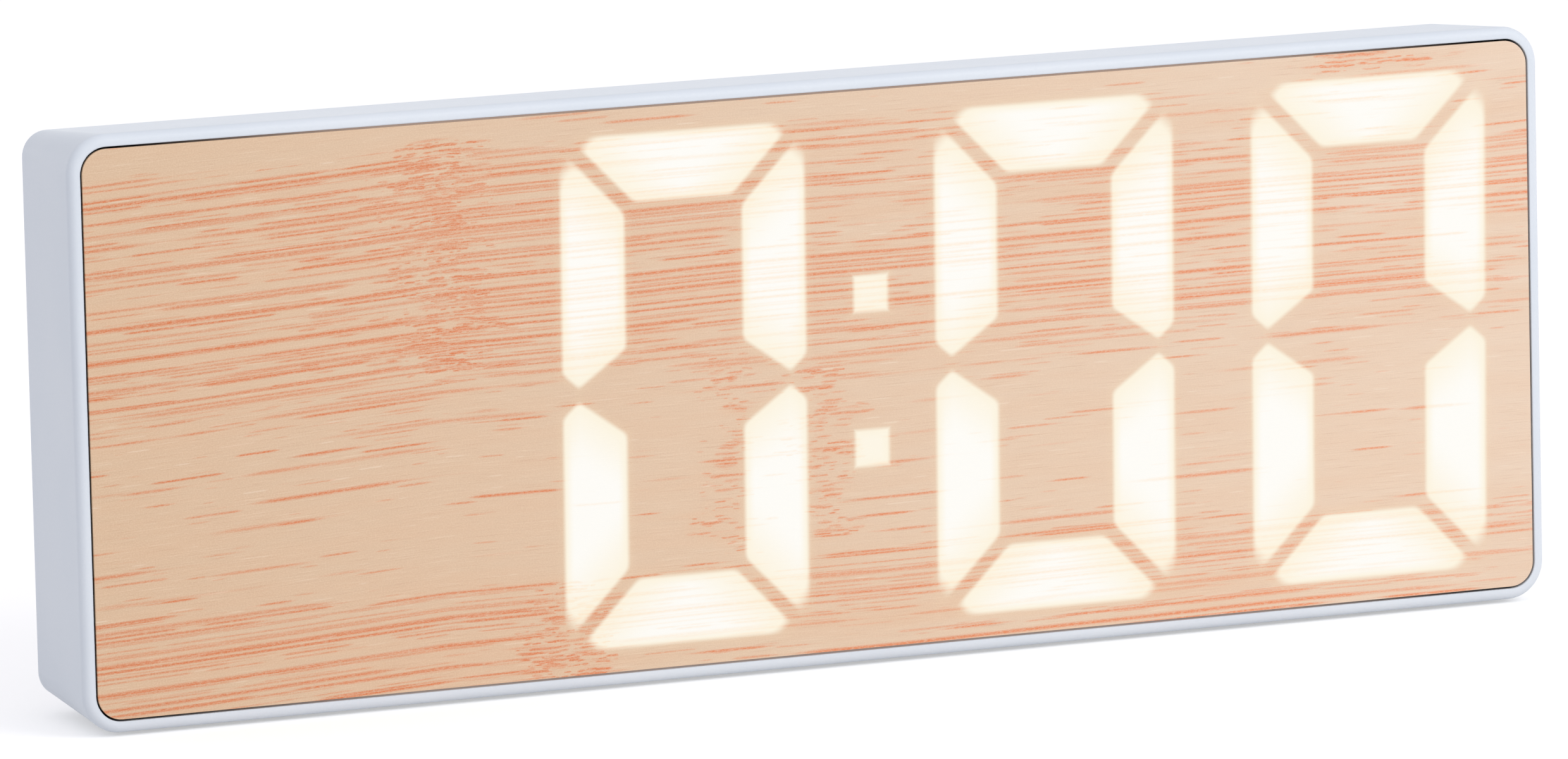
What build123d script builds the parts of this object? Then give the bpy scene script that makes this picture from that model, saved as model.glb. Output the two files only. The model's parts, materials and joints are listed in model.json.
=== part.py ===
from build123d import *
import math
import os

# Digital desk clock with a wood-look front. The digits shine through a thin printed film from
# tapered light wells behind it. Lengths are in millimetres. The face looks towards -Y, X runs to
# the viewer's right and Z up. The origin is in the middle of the box round the clock, on the
# surface that it stands on. A depth is a distance from the face towards the back.

# Housing
body_width = 162.0
body_height = 60.0
housing_depth = 17.2
side_taper = 1.43
front_corner_radius = 4.0
face_edge_round = 0.85
rear_edge_cut = 0.4
rim_width = 1.27
rear_wall = 1.25

# Front panel and what lies behind it
film_thickness = 0.25
plate_thickness = 1.75
panel_gap = 0.22
tape_thickness = 0.2
diffuser_thickness = 0.3
slide_clearance = 0.15
mask_depth = 5.0
mask_skin = 1.0
display_board_thickness = 1.2
display_board_inset = 0.6

# Digits
display_left_margin = 13.945
display_right_margin = 3.845
display_edge_margin = 1.27
digit_space = 9.0
colon_space = 14.45
upright_stroke = 6.75
level_stroke = 6.95
corner_cut = 3.35
mitre_gap = 1.15
waist_inner = 4.15
waist_outer = 2.1
waist_tip = 0.6
waist_tip_inset = 1.7
bar_stroke = 6.0
bar_gap = 1.5
bar_shoulder_gap = 0.65
colon_dot_size = 3.75
colon_dot_height = 7.9
well_draft = 8.0
relief_margin = 1.3
led_length = 2.0
led_width = 1.25
led_height = 0.8

# Rear cover
pan_proud = 5.0
pan_inset = 2.0
pan_taper = 0.4
pan_corner_radius = 4.0
pan_edge_round = 1.2
cover_rim_thickness = 1.6
cover_rim_recess = 0.1
cover_wall = 1.4

# Cover screws, their pillars in the cover and their bosses in the housing
cover_screw_inset_x = 7.6
cover_screw_inset_z = 7.6
pillar_radius = 3.4
boss_radius = 3.0
boss_web = 1.2
boss_web_relief = 0.6
screw_clearance = 0.15
screw_head_cut = 0.5
thread_clearance = 0.05
cover_screw_radius = 1.25
cover_screw_length = 7.2
cover_screw_head_radius = 2.3
cover_screw_head_height = 1.7
counterbore_clearance = 0.3
pilot_overrun = 0.6

# Display screws and their lugs in the housing
lug_width = 8.0
lug_reach = 8.0
lug_thickness = 1.6
lug_hole_reach = 5.0
small_screw_radius = 1.05
small_screw_head_radius = 2.0
small_screw_head_height = 1.5
display_screw_length = 6.0
recess_width = 0.5
recess_length_share = 0.62
recess_depth = 0.7

# Battery bay and door
cell_radius = 5.25
cell_length = 44.5
cell_nub_radius = 1.9
cell_nub_length = 0.8
cell_edge_cut = 0.5
cell_count = 3
cell_gap = 0.4
cell_clearance = 0.1
bay_buzzer_gap = 1.5
bay_floor = 0.9
bay_floor_gap = 0.4
bay_wall = 1.2
bay_side_clearance = 0.3
cradle_height = 2.6
contact_thickness = 0.4
contact_width = 8.0
contact_height = 8.6
spring_reach = 3.2
spring_strip = 0.35
spring_strip_width = 5.0
spring_chord = 7.6
door_thickness = 1.5
door_ledge = 2.5
door_ledge_thickness = 1.2
door_clearance = 0.2
door_corner_radius = 2.0
door_tab_width = 7.0
door_tab_thickness = 0.9
door_tab_length = 2.4
door_tab_spread = 32.0
door_tab_clearance = 0.2
latch_width = 12.0
latch_slit = 0.6
latch_slit_length = 7.0
grip_count = 4
grip_pitch = 1.8
grip_width = 0.8
grip_depth = 0.4
grip_length = 8.0
scoop_radius = 7.0
scoop_depth = 1.0
scoop_reach = 3.2

# Buttons, their switches and board
button_names = ["mode", "set", "up", "down"]
button_gap = 1.2
button_post_gap = 0.3
button_length = 8.0
button_width = 4.6
button_proud = 0.6
button_edge_cut = 0.35
button_clearance = 0.15
flange_reach = 0.9
flange_thickness = 0.8
flange_gap = 0.05
pad_depth = 0.8
pad_margin = 3.0
pad_corner_radius = 2.5
plunger_radius = 1.75
plunger_proud = 0.8
plunger_seat = 1.2
plunger_clearance = 0.06
button_travel = 0.25
travel_clearance = 0.15
switch_size = 6.0
switch_height = 3.5
switch_edge_cut = 0.5
button_board_margin = 0.8
button_board_thickness = 1.2
board_side_gap = 3.0
board_pillar_gap = 1.3
board_corner_radius = 1.0
post_inset = 2.6
post_radius = 2.4
post_screw_length = 5.0

# Power inlet, sized as a micro-USB socket that stands on its board
inlet_width = 7.6
inlet_height = 2.9
inlet_cut = 0.9
inlet_wall = 0.3
inlet_mouth_depth = 5.4
inlet_tongue_width = 4.2
inlet_tongue_thickness = 0.6
inlet_tongue_reach = 4.4
inlet_recess = 0.3
inlet_clearance = 0.25
inlet_board_inset = 9.0
inlet_edge_inset = 6.0

# Other parts on the boards
buzzer_margin = 1.5
buzzer_radius = 6.0
buzzer_height = 9.5
buzzer_hole_radius = 1.0
buzzer_hole_depth = 2.0
buzzer_ring_clearance = 0.4
buzzer_ring_wall = 1.0
buzzer_ring_overlap = 1.6
sound_slot_width = 1.1
sound_slot_pitch = 2.2
sound_slot_count = 5
sound_slot_end = 0.9
vent_count = 3
vent_length = 9.0
sensor_board_inset = 6.5
sensor_bead_radius = 0.9
sensor_bead_length = 1.4
sensor_lead_radius = 0.25
sensor_lead_pitch = 1.2
sensor_lead_length = 3.0
chip_length = 17.9
chip_width = 7.5
chip_height = 2.3
chip_standoff = 0.15
chip_lead_count = 14
chip_lead_pitch = 1.27
chip_lead_width = 0.45
chip_lead_reach = 1.4
chip_lead_height = 1.0
chip_board_inset = 34.0
chip_level = 6.0
crystal_radius = 1.0
crystal_length = 6.0
crystal_board_inset = 12.0
crystal_level = 6.0
capacitor_radius = 2.5
capacitor_height = 4.0
capacitor_base = 0.8
capacitor_board_inset = 12.0
capacitor_level = -8.0
ribbon_width = 8.0
ribbon_thickness = 0.3
ribbon_socket_length = 10.0
ribbon_socket_width = 3.6
ribbon_socket_height = 2.2
ribbon_level = 1.2
ribbon_board_inset = 19.0
ribbon_display_inset = 7.3
ribbon_button_inset = 3.0
ribbon_lead_out = 1.0
lead_radius = 0.6
lead_reach = 4.5
lead_spread = 8.0
lead_bend_share = 0.6
lead_sides = 8

# Rubber feet
foot_length = 14.0
foot_width = 11.0
foot_front = 3.6
foot_centre_inset = 18.0
foot_proud = 0.3
foot_pocket_height = 1.55
foot_corner_radius = 2.0
foot_edge_cut = 0.3
foot_clearance = 0.12

# Extra length of a cutting solid past the face that it cuts
overrun = 1.0

# Depths, from the face back
panel_back = film_thickness + plate_thickness
ledge_depth = panel_back + tape_thickness
mask_front = panel_back + diffuser_thickness
mask_back = mask_front + mask_depth
board_back = mask_back + display_board_thickness
total_depth = housing_depth + pan_proud
pan_inside = total_depth - cover_wall
cover_rim_back = housing_depth - cover_rim_recess
cover_seat = cover_rim_back - cover_rim_thickness
door_inside = total_depth - door_thickness
bay_floor_front = board_back + bay_floor_gap
bay_floor_back = bay_floor_front + bay_floor
cell_depth = bay_floor_back + cell_clearance + cell_radius
pad_back = total_depth - pad_depth
pad_inside = pad_back - cover_wall
flange_back = pad_inside - flange_gap
flange_front = flange_back - flange_thickness
switch_back = flange_front - plunger_proud
button_board_back = switch_back - switch_height
button_board_front = button_board_back - button_board_thickness

# Places of the front plane and the middle of the face in the clock's frame
face_y = -total_depth / 2
middle_z = body_height / 2 + foot_proud

# Widths and heights of what nests inside the housing
opening_width = body_width - 2 * rim_width
opening_height = body_height - 2 * rim_width
opening_corner_radius = front_corner_radius - rim_width
cavity_width = body_width - 2 * side_taper - 2 * rear_wall
cavity_height = body_height - 2 * side_taper - 2 * rear_wall
cavity_corner_radius = front_corner_radius - side_taper - rear_wall
cover_screw_x = cavity_width / 2 - cover_screw_inset_x
cover_screw_z = cavity_height / 2 - cover_screw_inset_z
pan_width = cavity_width - 2 * slide_clearance - 2 * pan_inset
pan_height = cavity_height - 2 * slide_clearance - 2 * pan_inset
pan_inside_x = pan_width / 2 - cover_wall

# Digits: four across the cavity, with the colon between the second and the third
display_width = cavity_width - display_left_margin - display_right_margin
digit_width = (display_width - 2 * digit_space - colon_space) / 4
digit_height = cavity_height - 2 * display_edge_margin
display_left = display_left_margin - cavity_width / 2
colon_centre = display_left + 2 * digit_width + digit_space + colon_space / 2
inner_digit = (colon_space + digit_width) / 2
outer_digit = inner_digit + digit_width + digit_space
digit_centres = [
    colon_centre - outer_digit,
    colon_centre - inner_digit,
    colon_centre + inner_digit,
    colon_centre + outer_digit,
]
lug_centres = [
    (digit_centres[0] + digit_centres[1]) / 2,
    (digit_centres[2] + digit_centres[3]) / 2,
]
display_screw_z = cavity_height / 2 - lug_hole_reach

# Buzzer and battery bay, laid out from the right end of the pan
buzzer_ring_radius = buzzer_radius + buzzer_ring_clearance
buzzer_x = pan_inside_x - buzzer_margin - buzzer_ring_radius - buzzer_ring_wall
cell_pitch = 2 * cell_radius + cell_gap
cell_levels = [(row - (cell_count - 1) / 2) * cell_pitch for row in range(cell_count)]
bay_width = cell_length + 2 * contact_thickness + spring_reach
bay_height = (cell_count - 1) * cell_pitch + 2 * cell_radius + 2 * bay_side_clearance
door_hole_width = bay_width + 2 * door_ledge
door_hole_height = bay_height + 2 * door_ledge
bay_right = buzzer_x - buzzer_ring_radius - buzzer_ring_wall - bay_buzzer_gap
bay_centre = bay_right - bay_wall - door_hole_width / 2

# Buttons and what stands on their board, laid out from the left end of the pan
flange_length = button_length + 2 * flange_reach
flange_width = button_width + 2 * flange_reach
button_pitch = flange_length + button_gap
row_length = (len(button_names) - 1) * button_pitch + flange_length
button_board_width = row_length + 2 * button_board_margin
button_board_height = 2 * (cover_screw_z - pillar_radius - board_pillar_gap)
board_left = board_side_gap - pan_inside_x
board_centre = board_left + button_board_width / 2
button_centres = [
    board_centre + (place - (len(button_names) - 1) / 2) * button_pitch
    for place in range(len(button_names))
]
post_x = button_board_width / 2 - post_inset
post_z = button_board_height / 2 - post_inset
post_places = [
    (board_centre + side * post_x, level * post_z) for side in (-1, 1) for level in (-1, 1)
]
button_row_height = post_z - post_radius - button_post_gap - flange_width / 2
inlet_x = board_left + inlet_board_inset
inlet_z = inlet_edge_inset - button_board_height / 2
sensor_x = board_left + button_board_width - sensor_board_inset

# Parts on the back of the display board, laid out from its left end
display_board_left = display_board_inset + slide_clearance - cavity_width / 2
chip_centre = display_board_left + chip_board_inset
crystal_centre = display_board_left + crystal_board_inset
capacitor_centre = display_board_left + capacitor_board_inset
ribbon_centre = board_left + ribbon_board_inset
ribbon_display_z = ribbon_display_inset - cavity_height / 2
ribbon_button_z = ribbon_button_inset - button_board_height / 2
corner_places = [(side * cover_screw_x, level * cover_screw_z) for side in (-1, 1) for level in (-1, 1)]
lug_places = [(x, level * display_screw_z) for x in lug_centres for level in (-1, 1)]


def station(depth):
    """The upright plane at a depth behind the face, with its X and Y along the clock's X and Z."""
    return Plane(origin=(0, face_y + depth, middle_z), x_dir=(1, 0, 0), z_dir=(0, -1, 0))


def layer(outline, front, back):
    """A flat outline made solid between two depths."""
    return extrude(station(back) * outline, back - front)


def tapered(outline, front, back, inset):
    """A flat outline made solid between two depths, drawn in by the inset at the back."""
    angle = math.degrees(math.atan2(inset, back - front))
    return extrude(station(front) * outline, front - back, taper=angle)


def at(x, z, outline):
    """An outline moved to a place on the face."""
    return Pos(x, z) * outline


def anticlockwise(points):
    """The points of a polygon in anticlockwise order, whichever way they run."""
    area = sum(
        a[0] * b[1] - b[0] * a[1] for a, b in zip(points, points[1:] + points[:1])
    )
    return points if area > 0 else points[::-1]


def drawn_in(points, distance):
    """The corners of a polygon, given anticlockwise, with each side moved in by the distance."""
    result = []
    for before, point, after in zip(points[-1:] + points[:-1], points, points[1:] + points[:1]):
        first = (Vector(*point) - Vector(*before)).normalized()
        second = (Vector(*after) - Vector(*point)).normalized()
        inward = Vector(-first.Y - second.Y, first.X + second.X)
        shift = distance / (1 + first.dot(second))
        result.append((point[0] + shift * inward.X, point[1] + shift * inward.Y))
    return result


def flat_sided(points, front, back, inset):
    """A polygon made solid between two depths with flat sloping sides, drawn in at the back."""
    wide = [station(front).from_local_coords((x, z, 0)) for x, z in points]
    narrow = [station(back).from_local_coords((x, z, 0)) for x, z in drawn_in(points, inset)]
    faces = [Face(Wire.make_polygon(wide)), Face(Wire.make_polygon(narrow))]
    rows = zip(wide, wide[1:] + wide[:1], narrow[1:] + narrow[:1], narrow)
    faces += [Face(Wire.make_polygon(quad)) for quad in rows]
    return Solid(Shell(faces))


def rounded(width, height, radius):
    """A rectangle with round corners, centred."""
    return RectangleRounded(width, height, radius)


def screw(x, z, seat, radius, length, head_radius, head_height):
    """A screw with its head behind the seat and its shank towards the face."""
    head = layer(at(x, z, Circle(head_radius)), seat, seat + head_height)
    return head + layer(at(x, z, Circle(radius)), seat - length, seat)


def cross_recess(x, z, head_radius, head_back):
    """The cross that a driver fits, cut into the back of a screw's head."""
    reach = 2 * head_radius * recess_length_share
    cross = Rectangle(recess_width, reach) + Rectangle(reach, recess_width)
    return layer(at(x, z, cross), head_back - recess_depth, head_back + overrun)


def upright_outline(side, level):
    """One upright segment's corners: side is -1 or 1, level -1 for the lower and 1 for the upper."""
    outer = digit_width / 2
    inner = outer - upright_stroke
    top = digit_height / 2
    mitre = top - level_stroke - inner - mitre_gap / math.sqrt(2)
    cut = outer + top - corner_cut
    tip = (cut - mitre) / 2
    points = [
        (outer, waist_outer),
        (outer, top - corner_cut),
        (tip, tip + mitre),
        (inner, inner + mitre),
        (inner, waist_inner),
        (outer - waist_tip_inset, waist_tip),
    ]
    return anticlockwise([(side * x, level * z) for x, z in points])


def level_outline(level):
    """The corners of the top or bottom segment."""
    outer = digit_width / 2
    inner = outer - upright_stroke
    top = digit_height / 2
    mitre = top - level_stroke - inner + mitre_gap / math.sqrt(2)
    cut = outer + top - corner_cut
    tip = (cut - mitre) / 2
    half = [
        (top - level_stroke - mitre, top - level_stroke),
        (tip, tip + mitre),
        (outer - corner_cut, top),
    ]
    points = half + [(-x, z) for x, z in reversed(half)]
    return anticlockwise([(x, level * z) for x, z in points])


def bar_outline():
    """The corners of the middle segment."""
    end = digit_width / 2 - waist_tip_inset - bar_gap
    shoulder = digit_width / 2 - upright_stroke - bar_shoulder_gap
    half = [(shoulder, -bar_stroke / 2), (end, 0), (shoulder, bar_stroke / 2)]
    return anticlockwise(half + [(-x, z) for x, z in reversed(half)])


def segment_outlines():
    """The corners of one digit's seven segments, about its own middle."""
    uprights = [upright_outline(side, level) for side in (-1, 1) for level in (-1, 1)]
    return uprights + [level_outline(1), level_outline(-1), bar_outline()]


def dot_outline(level):
    """The corners of one of the colon's square dots."""
    half = colon_dot_size / 2
    middle = level * colon_dot_height
    square = [(-half, -half), (half, -half), (half, half), (-half, half)]
    return [(colon_centre + x, middle + z) for x, z in square]


def led_places():
    """The place of every LED, and whether it lies along X."""
    upright_x = digit_width / 2 - upright_stroke / 2
    upright_z = (digit_height / 2 - level_stroke + waist_inner) / 2
    level_z = digit_height / 2 - level_stroke / 2
    places = []
    for centre in digit_centres:
        for side in (-1, 1):
            for step in (-1, 1):
                for level in (-1, 1):
                    spot = level * (upright_z + step * upright_stroke / 2)
                    places.append((centre + side * upright_x, spot, False))
            for level in (-1, 0, 1):
                places.append((centre + side * upright_stroke / 2, level * level_z, True))
    for level in (-1, 1):
        places.append((colon_centre, level * colon_dot_height, True))
    return places


def front_housing():
    """The tapered frame with its rim, panel ledge, screw bosses, lugs and foot pockets."""
    body = tapered(rounded(body_width, body_height, front_corner_radius), 0, housing_depth, side_taper)
    body = fillet(body.faces().sort_by(Axis.Y)[0].edges(), face_edge_round)
    body = chamfer(body.faces().sort_by(Axis.Y)[-1].edges(), rear_edge_cut)
    opening = rounded(opening_width, opening_height, opening_corner_radius)
    body -= layer(opening, -overrun, ledge_depth)
    cavity = rounded(cavity_width, cavity_height, cavity_corner_radius)
    body -= layer(cavity, 0, housing_depth + overrun)
    for x, z in corner_places:
        side = math.copysign(1, x)
        level = math.copysign(1, z)
        body += layer(at(x, z, Circle(boss_radius)), board_back, cover_seat)
        web_x = at(x + side * cover_screw_inset_x / 2, z, Rectangle(cover_screw_inset_x, boss_web))
        web_z = at(x, z + level * cover_screw_inset_z / 2, Rectangle(boss_web, cover_screw_inset_z))
        body += layer(web_x, board_back, cover_seat - boss_web_relief)
        body += layer(web_z, board_back, cover_seat - boss_web_relief)
        pilot_end = cover_rim_back - cover_screw_length - pilot_overrun
        pilot = Circle(cover_screw_radius + thread_clearance)
        body -= layer(at(x, z, pilot), pilot_end, cover_seat + overrun)
    for x, z in lug_places:
        level = math.copysign(1, z)
        lug = Rectangle(lug_width, lug_reach)
        lug_middle = level * (cavity_height / 2 - lug_reach / 2)
        body += layer(at(x, lug_middle, lug), board_back, board_back + lug_thickness)
        hole = Circle(small_screw_radius + screw_clearance)
        body -= layer(at(x, z, hole), board_back - overrun, board_back + lug_thickness + overrun)
    for side in (-1, 1):
        pocket = foot_block(side, foot_clearance, overrun)
        body -= pocket
    return body


def foot_block(side, grow, drop):
    """The block of one foot, grown sideways and lowered to cut its pocket."""
    x = side * (body_width / 2 - foot_centre_inset)
    outline = rounded(foot_length + 2 * grow, foot_width + 2 * grow, foot_corner_radius + grow)
    height = foot_pocket_height + foot_proud + drop
    return extrude(Pos(x, face_y + foot_front + foot_width / 2, -drop) * outline, height)


def foot(side):
    """One rubber foot. It fills its pocket and takes up the housing's taper."""
    block = foot_block(side, 0, 0)
    return chamfer(block.faces().sort_by(Axis.Z)[0].edges(), foot_edge_cut)


def panel(front, back):
    """A layer with the outline of the front panel."""
    outline = rounded(
        opening_width - 2 * panel_gap,
        opening_height - 2 * panel_gap,
        opening_corner_radius - panel_gap,
    )
    return layer(outline, front, back)


def panel_tape():
    """The black gasket on the housing's ledge. It shows as a dark line round the panel."""
    outer = rounded(opening_width, opening_height, opening_corner_radius)
    inner = rounded(cavity_width, cavity_height, cavity_corner_radius)
    return layer(outer - inner, panel_back, ledge_depth)


def stack_outline(inset):
    """An outline that slides in the housing's cavity."""
    return rounded(
        cavity_width - 2 * slide_clearance - 2 * inset,
        cavity_height - 2 * slide_clearance - 2 * inset,
        cavity_corner_radius,
    )


def light_mask():
    """The moulded mask with a tapered light well for each segment and colon dot."""
    mask = layer(stack_outline(0), mask_front, mask_back)
    wells = [
        [(centre + x, z) for x, z in outline]
        for centre in digit_centres
        for outline in segment_outlines()
    ]
    wells += [dot_outline(level) for level in (-1, 1)]
    draw = mask_depth * math.tan(math.radians(well_draft))
    for outline in wells:
        mask -= flat_sided(outline, mask_front, mask_back, draw)
    inner = digit_width / 2 - upright_stroke - relief_margin
    low = bar_stroke / 2 + relief_margin
    high = digit_height / 2 - level_stroke - relief_margin
    relief = Rectangle(2 * inner, high - low)
    for centre in digit_centres:
        for level in (-1, 1):
            pocket = at(centre, level * (low + high) / 2, relief)
            mask -= layer(pocket, mask_front + mask_skin, mask_back + overrun)
    pilot = Circle(small_screw_radius + thread_clearance)
    pilot_end = board_back + lug_thickness - display_screw_length - pilot_overrun
    for x, z in lug_places:
        mask -= layer(at(x, z, pilot), pilot_end, mask_back + overrun)
    return mask


def display_board():
    """The circuit board behind the mask, with the display screws' holes."""
    board = layer(stack_outline(display_board_inset), mask_back, board_back)
    hole = Circle(small_screw_radius + screw_clearance)
    for x, z in lug_places:
        board -= layer(at(x, z, hole), mask_back - overrun, board_back + overrun)
    return board


def segment_leds():
    """One group of chip LEDs on the front of the display board."""
    leds = []
    for x, z, lies_along_x in led_places():
        size = (led_length, led_width) if lies_along_x else (led_width, led_length)
        leds.append(layer(at(x, z, Rectangle(*size)), mask_back - led_height, mask_back))
    return leds


def rear_cover():
    """The back shell: its rim, raised pan, battery bay, button pad, pillars, posts and slots."""
    cover = layer(stack_outline(0), cover_seat, cover_rim_back)
    cover += pan(0, cover_rim_back, total_depth)
    cover -= pan(cover_wall, cover_seat, pan_inside)
    for x, z in corner_places:
        cover += layer(at(x, z, Circle(pillar_radius)), cover_seat, pan_inside)
    cover += battery_bay_block()
    pad = pad_outline(cover_wall)
    cover += layer(pad, pad_inside, pan_inside)
    for x, z in post_places:
        cover += layer(at(x, z, Circle(post_radius)), button_board_back, pan_inside)
    ring = Circle(buzzer_ring_radius + buzzer_ring_wall) - Circle(buzzer_ring_radius)
    ring_front = board_back + buzzer_height - buzzer_ring_overlap
    cover += layer(at(buzzer_x, 0, ring), ring_front, pan_inside)
    cover -= battery_bay_space()
    cover -= layer(pad_outline(0), pad_back, total_depth + overrun)
    button_hole = slot_outline(button_length, button_width, button_clearance)
    for x in button_centres:
        hole = at(x, button_row_height, button_hole)
        cover -= layer(hole, pad_inside - overrun, total_depth + overrun)
    for x, z in corner_places:
        bore = Circle(cover_screw_radius + screw_clearance)
        head = Circle(cover_screw_head_radius + counterbore_clearance)
        cover -= layer(at(x, z, bore), cover_seat - overrun, total_depth)
        cover -= layer(at(x, z, head), cover_rim_back, total_depth + overrun)
    pilot = Circle(small_screw_radius + thread_clearance)
    pilot_end = button_board_front + post_screw_length + pilot_overrun
    for x, z in post_places:
        cover -= layer(at(x, z, pilot), button_board_front, pilot_end)
    inlet = inlet_outline(inlet_clearance)
    cover -= layer(at(inlet_x, inlet_z, inlet), pan_inside - overrun, total_depth + overrun)
    for place in range(sound_slot_count):
        across = (place - (sound_slot_count - 1) / 2) * sound_slot_pitch
        reach = math.sqrt(buzzer_radius**2 - across**2) - sound_slot_end
        slot = Rectangle(sound_slot_width, 2 * reach)
        spot = at(buzzer_x + across, 0, slot)
        cover -= layer(spot, pan_inside - overrun, total_depth + overrun)
    for place in range(vent_count):
        across = (place - (vent_count - 1) / 2) * sound_slot_pitch
        slot = Rectangle(vent_length, sound_slot_width)
        spot = at(sensor_x, inlet_z + across, slot)
        cover -= layer(spot, pan_inside - overrun, total_depth + overrun)
    return cover


def pan(wall, front, back):
    """The raised middle of the cover, or its hollow when a wall is given."""
    outline = rounded(pan_width - 2 * wall, pan_height - 2 * wall, pan_corner_radius - wall)
    body = tapered(outline, front, back, pan_taper)
    if wall:
        return body
    return fillet(body.faces().sort_by(Axis.Y)[-1].edges(), pan_edge_round)


def pad_outline(grow):
    """The shallow recess round the row of buttons."""
    length = button_centres[-1] - button_centres[0] + button_length + 2 * (pad_margin + grow)
    height = button_width + 2 * (pad_margin + grow)
    return at(board_centre, button_row_height, rounded(length, height, pad_corner_radius + grow))


def slot_outline(width, height, grow):
    """A slot with round ends along its longer side."""
    long_side = max(width, height) + 2 * grow
    short_side = min(width, height) + 2 * grow
    turn = 0 if width > height else 90
    return Rot(0, 0, turn) * SlotOverall(long_side, short_side)


def inlet_outline(grow):
    """The inlet's outline: a rectangle with its two lower corners cut."""
    half = inlet_width / 2 + grow
    top = inlet_height / 2 + grow
    return Polygon(
        (half, top), (-half, top), (-half, inlet_cut - top),
        (inlet_cut - half, -top), (half - inlet_cut, -top), (half, inlet_cut - top),
        align=None,
    )


def tab_centres():
    """The two locating tabs on the door's upper edge."""
    return [bay_centre + side * door_tab_spread / 2 for side in (-1, 1)]


def battery_bay_block():
    """The walls, floor and door collar of the battery bay, still solid."""
    box = Rectangle(bay_width + 2 * bay_wall, bay_height + 2 * bay_wall)
    block = layer(at(bay_centre, 0, box), bay_floor_front, pan_inside)
    collar = rounded(
        door_hole_width + 2 * bay_wall, door_hole_height + 2 * bay_wall, door_corner_radius
    )
    ledge_front = door_inside - door_ledge_thickness
    return block + layer(at(bay_centre, 0, collar), ledge_front, pan_inside)


def battery_bay_space():
    """What is cut from the block: the cells' cradle, the room above it, and the door's seat."""
    floor = Rectangle(bay_width, bay_height)
    cradle_top = bay_floor_back + cradle_height
    space = layer(at(bay_centre, 0, floor), cradle_top, total_depth + overrun)
    for level in cell_levels:
        space += lying_rod(bay_centre, level, cell_radius + cell_clearance, bay_width)
    for side in (-1, 1):
        end = Rectangle(2 * spring_reach, bay_height)
        spot = at(bay_centre + side * (bay_width / 2 - spring_reach), 0, end)
        space += layer(spot, bay_floor_back, cradle_top)
    hole = rounded(door_hole_width, door_hole_height, door_corner_radius)
    space += layer(at(bay_centre, 0, hole), door_inside, total_depth + overrun)
    edge = door_hole_height / 2
    depth = door_tab_thickness + door_clearance + door_tab_clearance
    for x in tab_centres():
        slot = Rectangle(door_tab_width + 2 * door_tab_clearance, depth)
        spot = at(x, edge - depth / 2, slot)
        space += layer(spot, door_inside - door_ledge_thickness - overrun, door_inside + overrun)
    slot = Rectangle(latch_width + 2 * door_tab_clearance, depth)
    spot = at(bay_centre, depth / 2 - edge, slot)
    space += layer(spot, door_inside - door_ledge_thickness - overrun, door_inside + overrun)
    scoop = at(bay_centre, -edge - scoop_reach + scoop_radius, Circle(scoop_radius))
    space += layer(scoop, total_depth - scoop_depth, total_depth + overrun)
    return space


def lying_rod(x, z, radius, length):
    """A round rod along X at the depth of the battery cells."""
    end = Plane(origin=(x - length / 2, face_y + cell_depth, middle_z + z), z_dir=(1, 0, 0))
    return extrude(end * Circle(radius), length)


def cell_side(row):
    """The side that a cell's positive end points to. Neighbours in the bay point opposite ways."""
    return 1 if row % 2 == 0 else -1


def battery_cells():
    """The cells, each against its positive contact."""
    cells = []
    for row, level in enumerate(cell_levels):
        side = cell_side(row)
        tip = bay_centre + side * (bay_width / 2 - contact_thickness)
        can_middle = tip - side * (cell_nub_length + (cell_length - cell_nub_length) / 2)
        can = lying_rod(can_middle, level, cell_radius, cell_length - cell_nub_length)
        can = chamfer(can.edges().filter_by(GeomType.CIRCLE), cell_edge_cut)
        nub = lying_rod(tip - side * cell_nub_length / 2, level, cell_nub_radius, cell_nub_length)
        cells.append(can + nub)
    return cells


def contact_plate(row, side):
    """The flat plate of a contact against the bay's end wall."""
    x = bay_centre + side * (bay_width / 2 - contact_thickness / 2)
    outline = Rectangle(contact_thickness, contact_height)
    half = contact_width / 2
    return layer(at(x, cell_levels[row], outline), cell_depth - half, cell_depth + half)


def battery_contacts():
    """The positive contacts, each a plate that the cell's nub presses on."""
    return [contact_plate(row, cell_side(row)) for row in range(cell_count)]


def battery_springs():
    """The negative contacts: a plate with a bowed leaf that presses on the cell's flat end."""
    springs = []
    for row, level in enumerate(cell_levels):
        side = -cell_side(row)
        root = bay_centre + side * (bay_width / 2 - contact_thickness)
        crown = root - side * spring_reach
        chord = spring_chord / 2
        outer = ThreePointArc((root, level - chord), (crown, level), (root, level + chord))
        inner_chord = chord - spring_strip
        inner = ThreePointArc(
            (root, level + inner_chord),
            (crown + side * spring_strip, level),
            (root, level - inner_chord),
        )
        ends = Line(outer @ 1, inner @ 0) + Line(inner @ 1, outer @ 0)
        leaf = make_face(outer + inner + ends)
        half = spring_strip_width / 2
        bow = layer(leaf, cell_depth - half, cell_depth + half)
        springs.append(contact_plate(row, side) + bow)
    return springs


def battery_leads():
    """The two insulated wires from the bay's end wall to the display board."""
    wall = face_y + cell_depth
    start = bay_centre - bay_width / 2 - bay_wall
    leads = []
    for level in (-1, 1):
        z = middle_z + level * lead_spread
        drop = cell_depth - board_back
        radius = min(lead_reach, drop) * lead_bend_share
        corner = (start - lead_reach, wall, z)
        end = (start - lead_reach, wall - drop, z)
        bend = FilletPolyline((start, wall, z), corner, end, radius=radius)
        section = Plane(origin=bend @ 0, z_dir=bend % 0) * RegularPolygon(lead_radius, lead_sides)
        leads.append(sweep(section, path=bend))
    return leads


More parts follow.
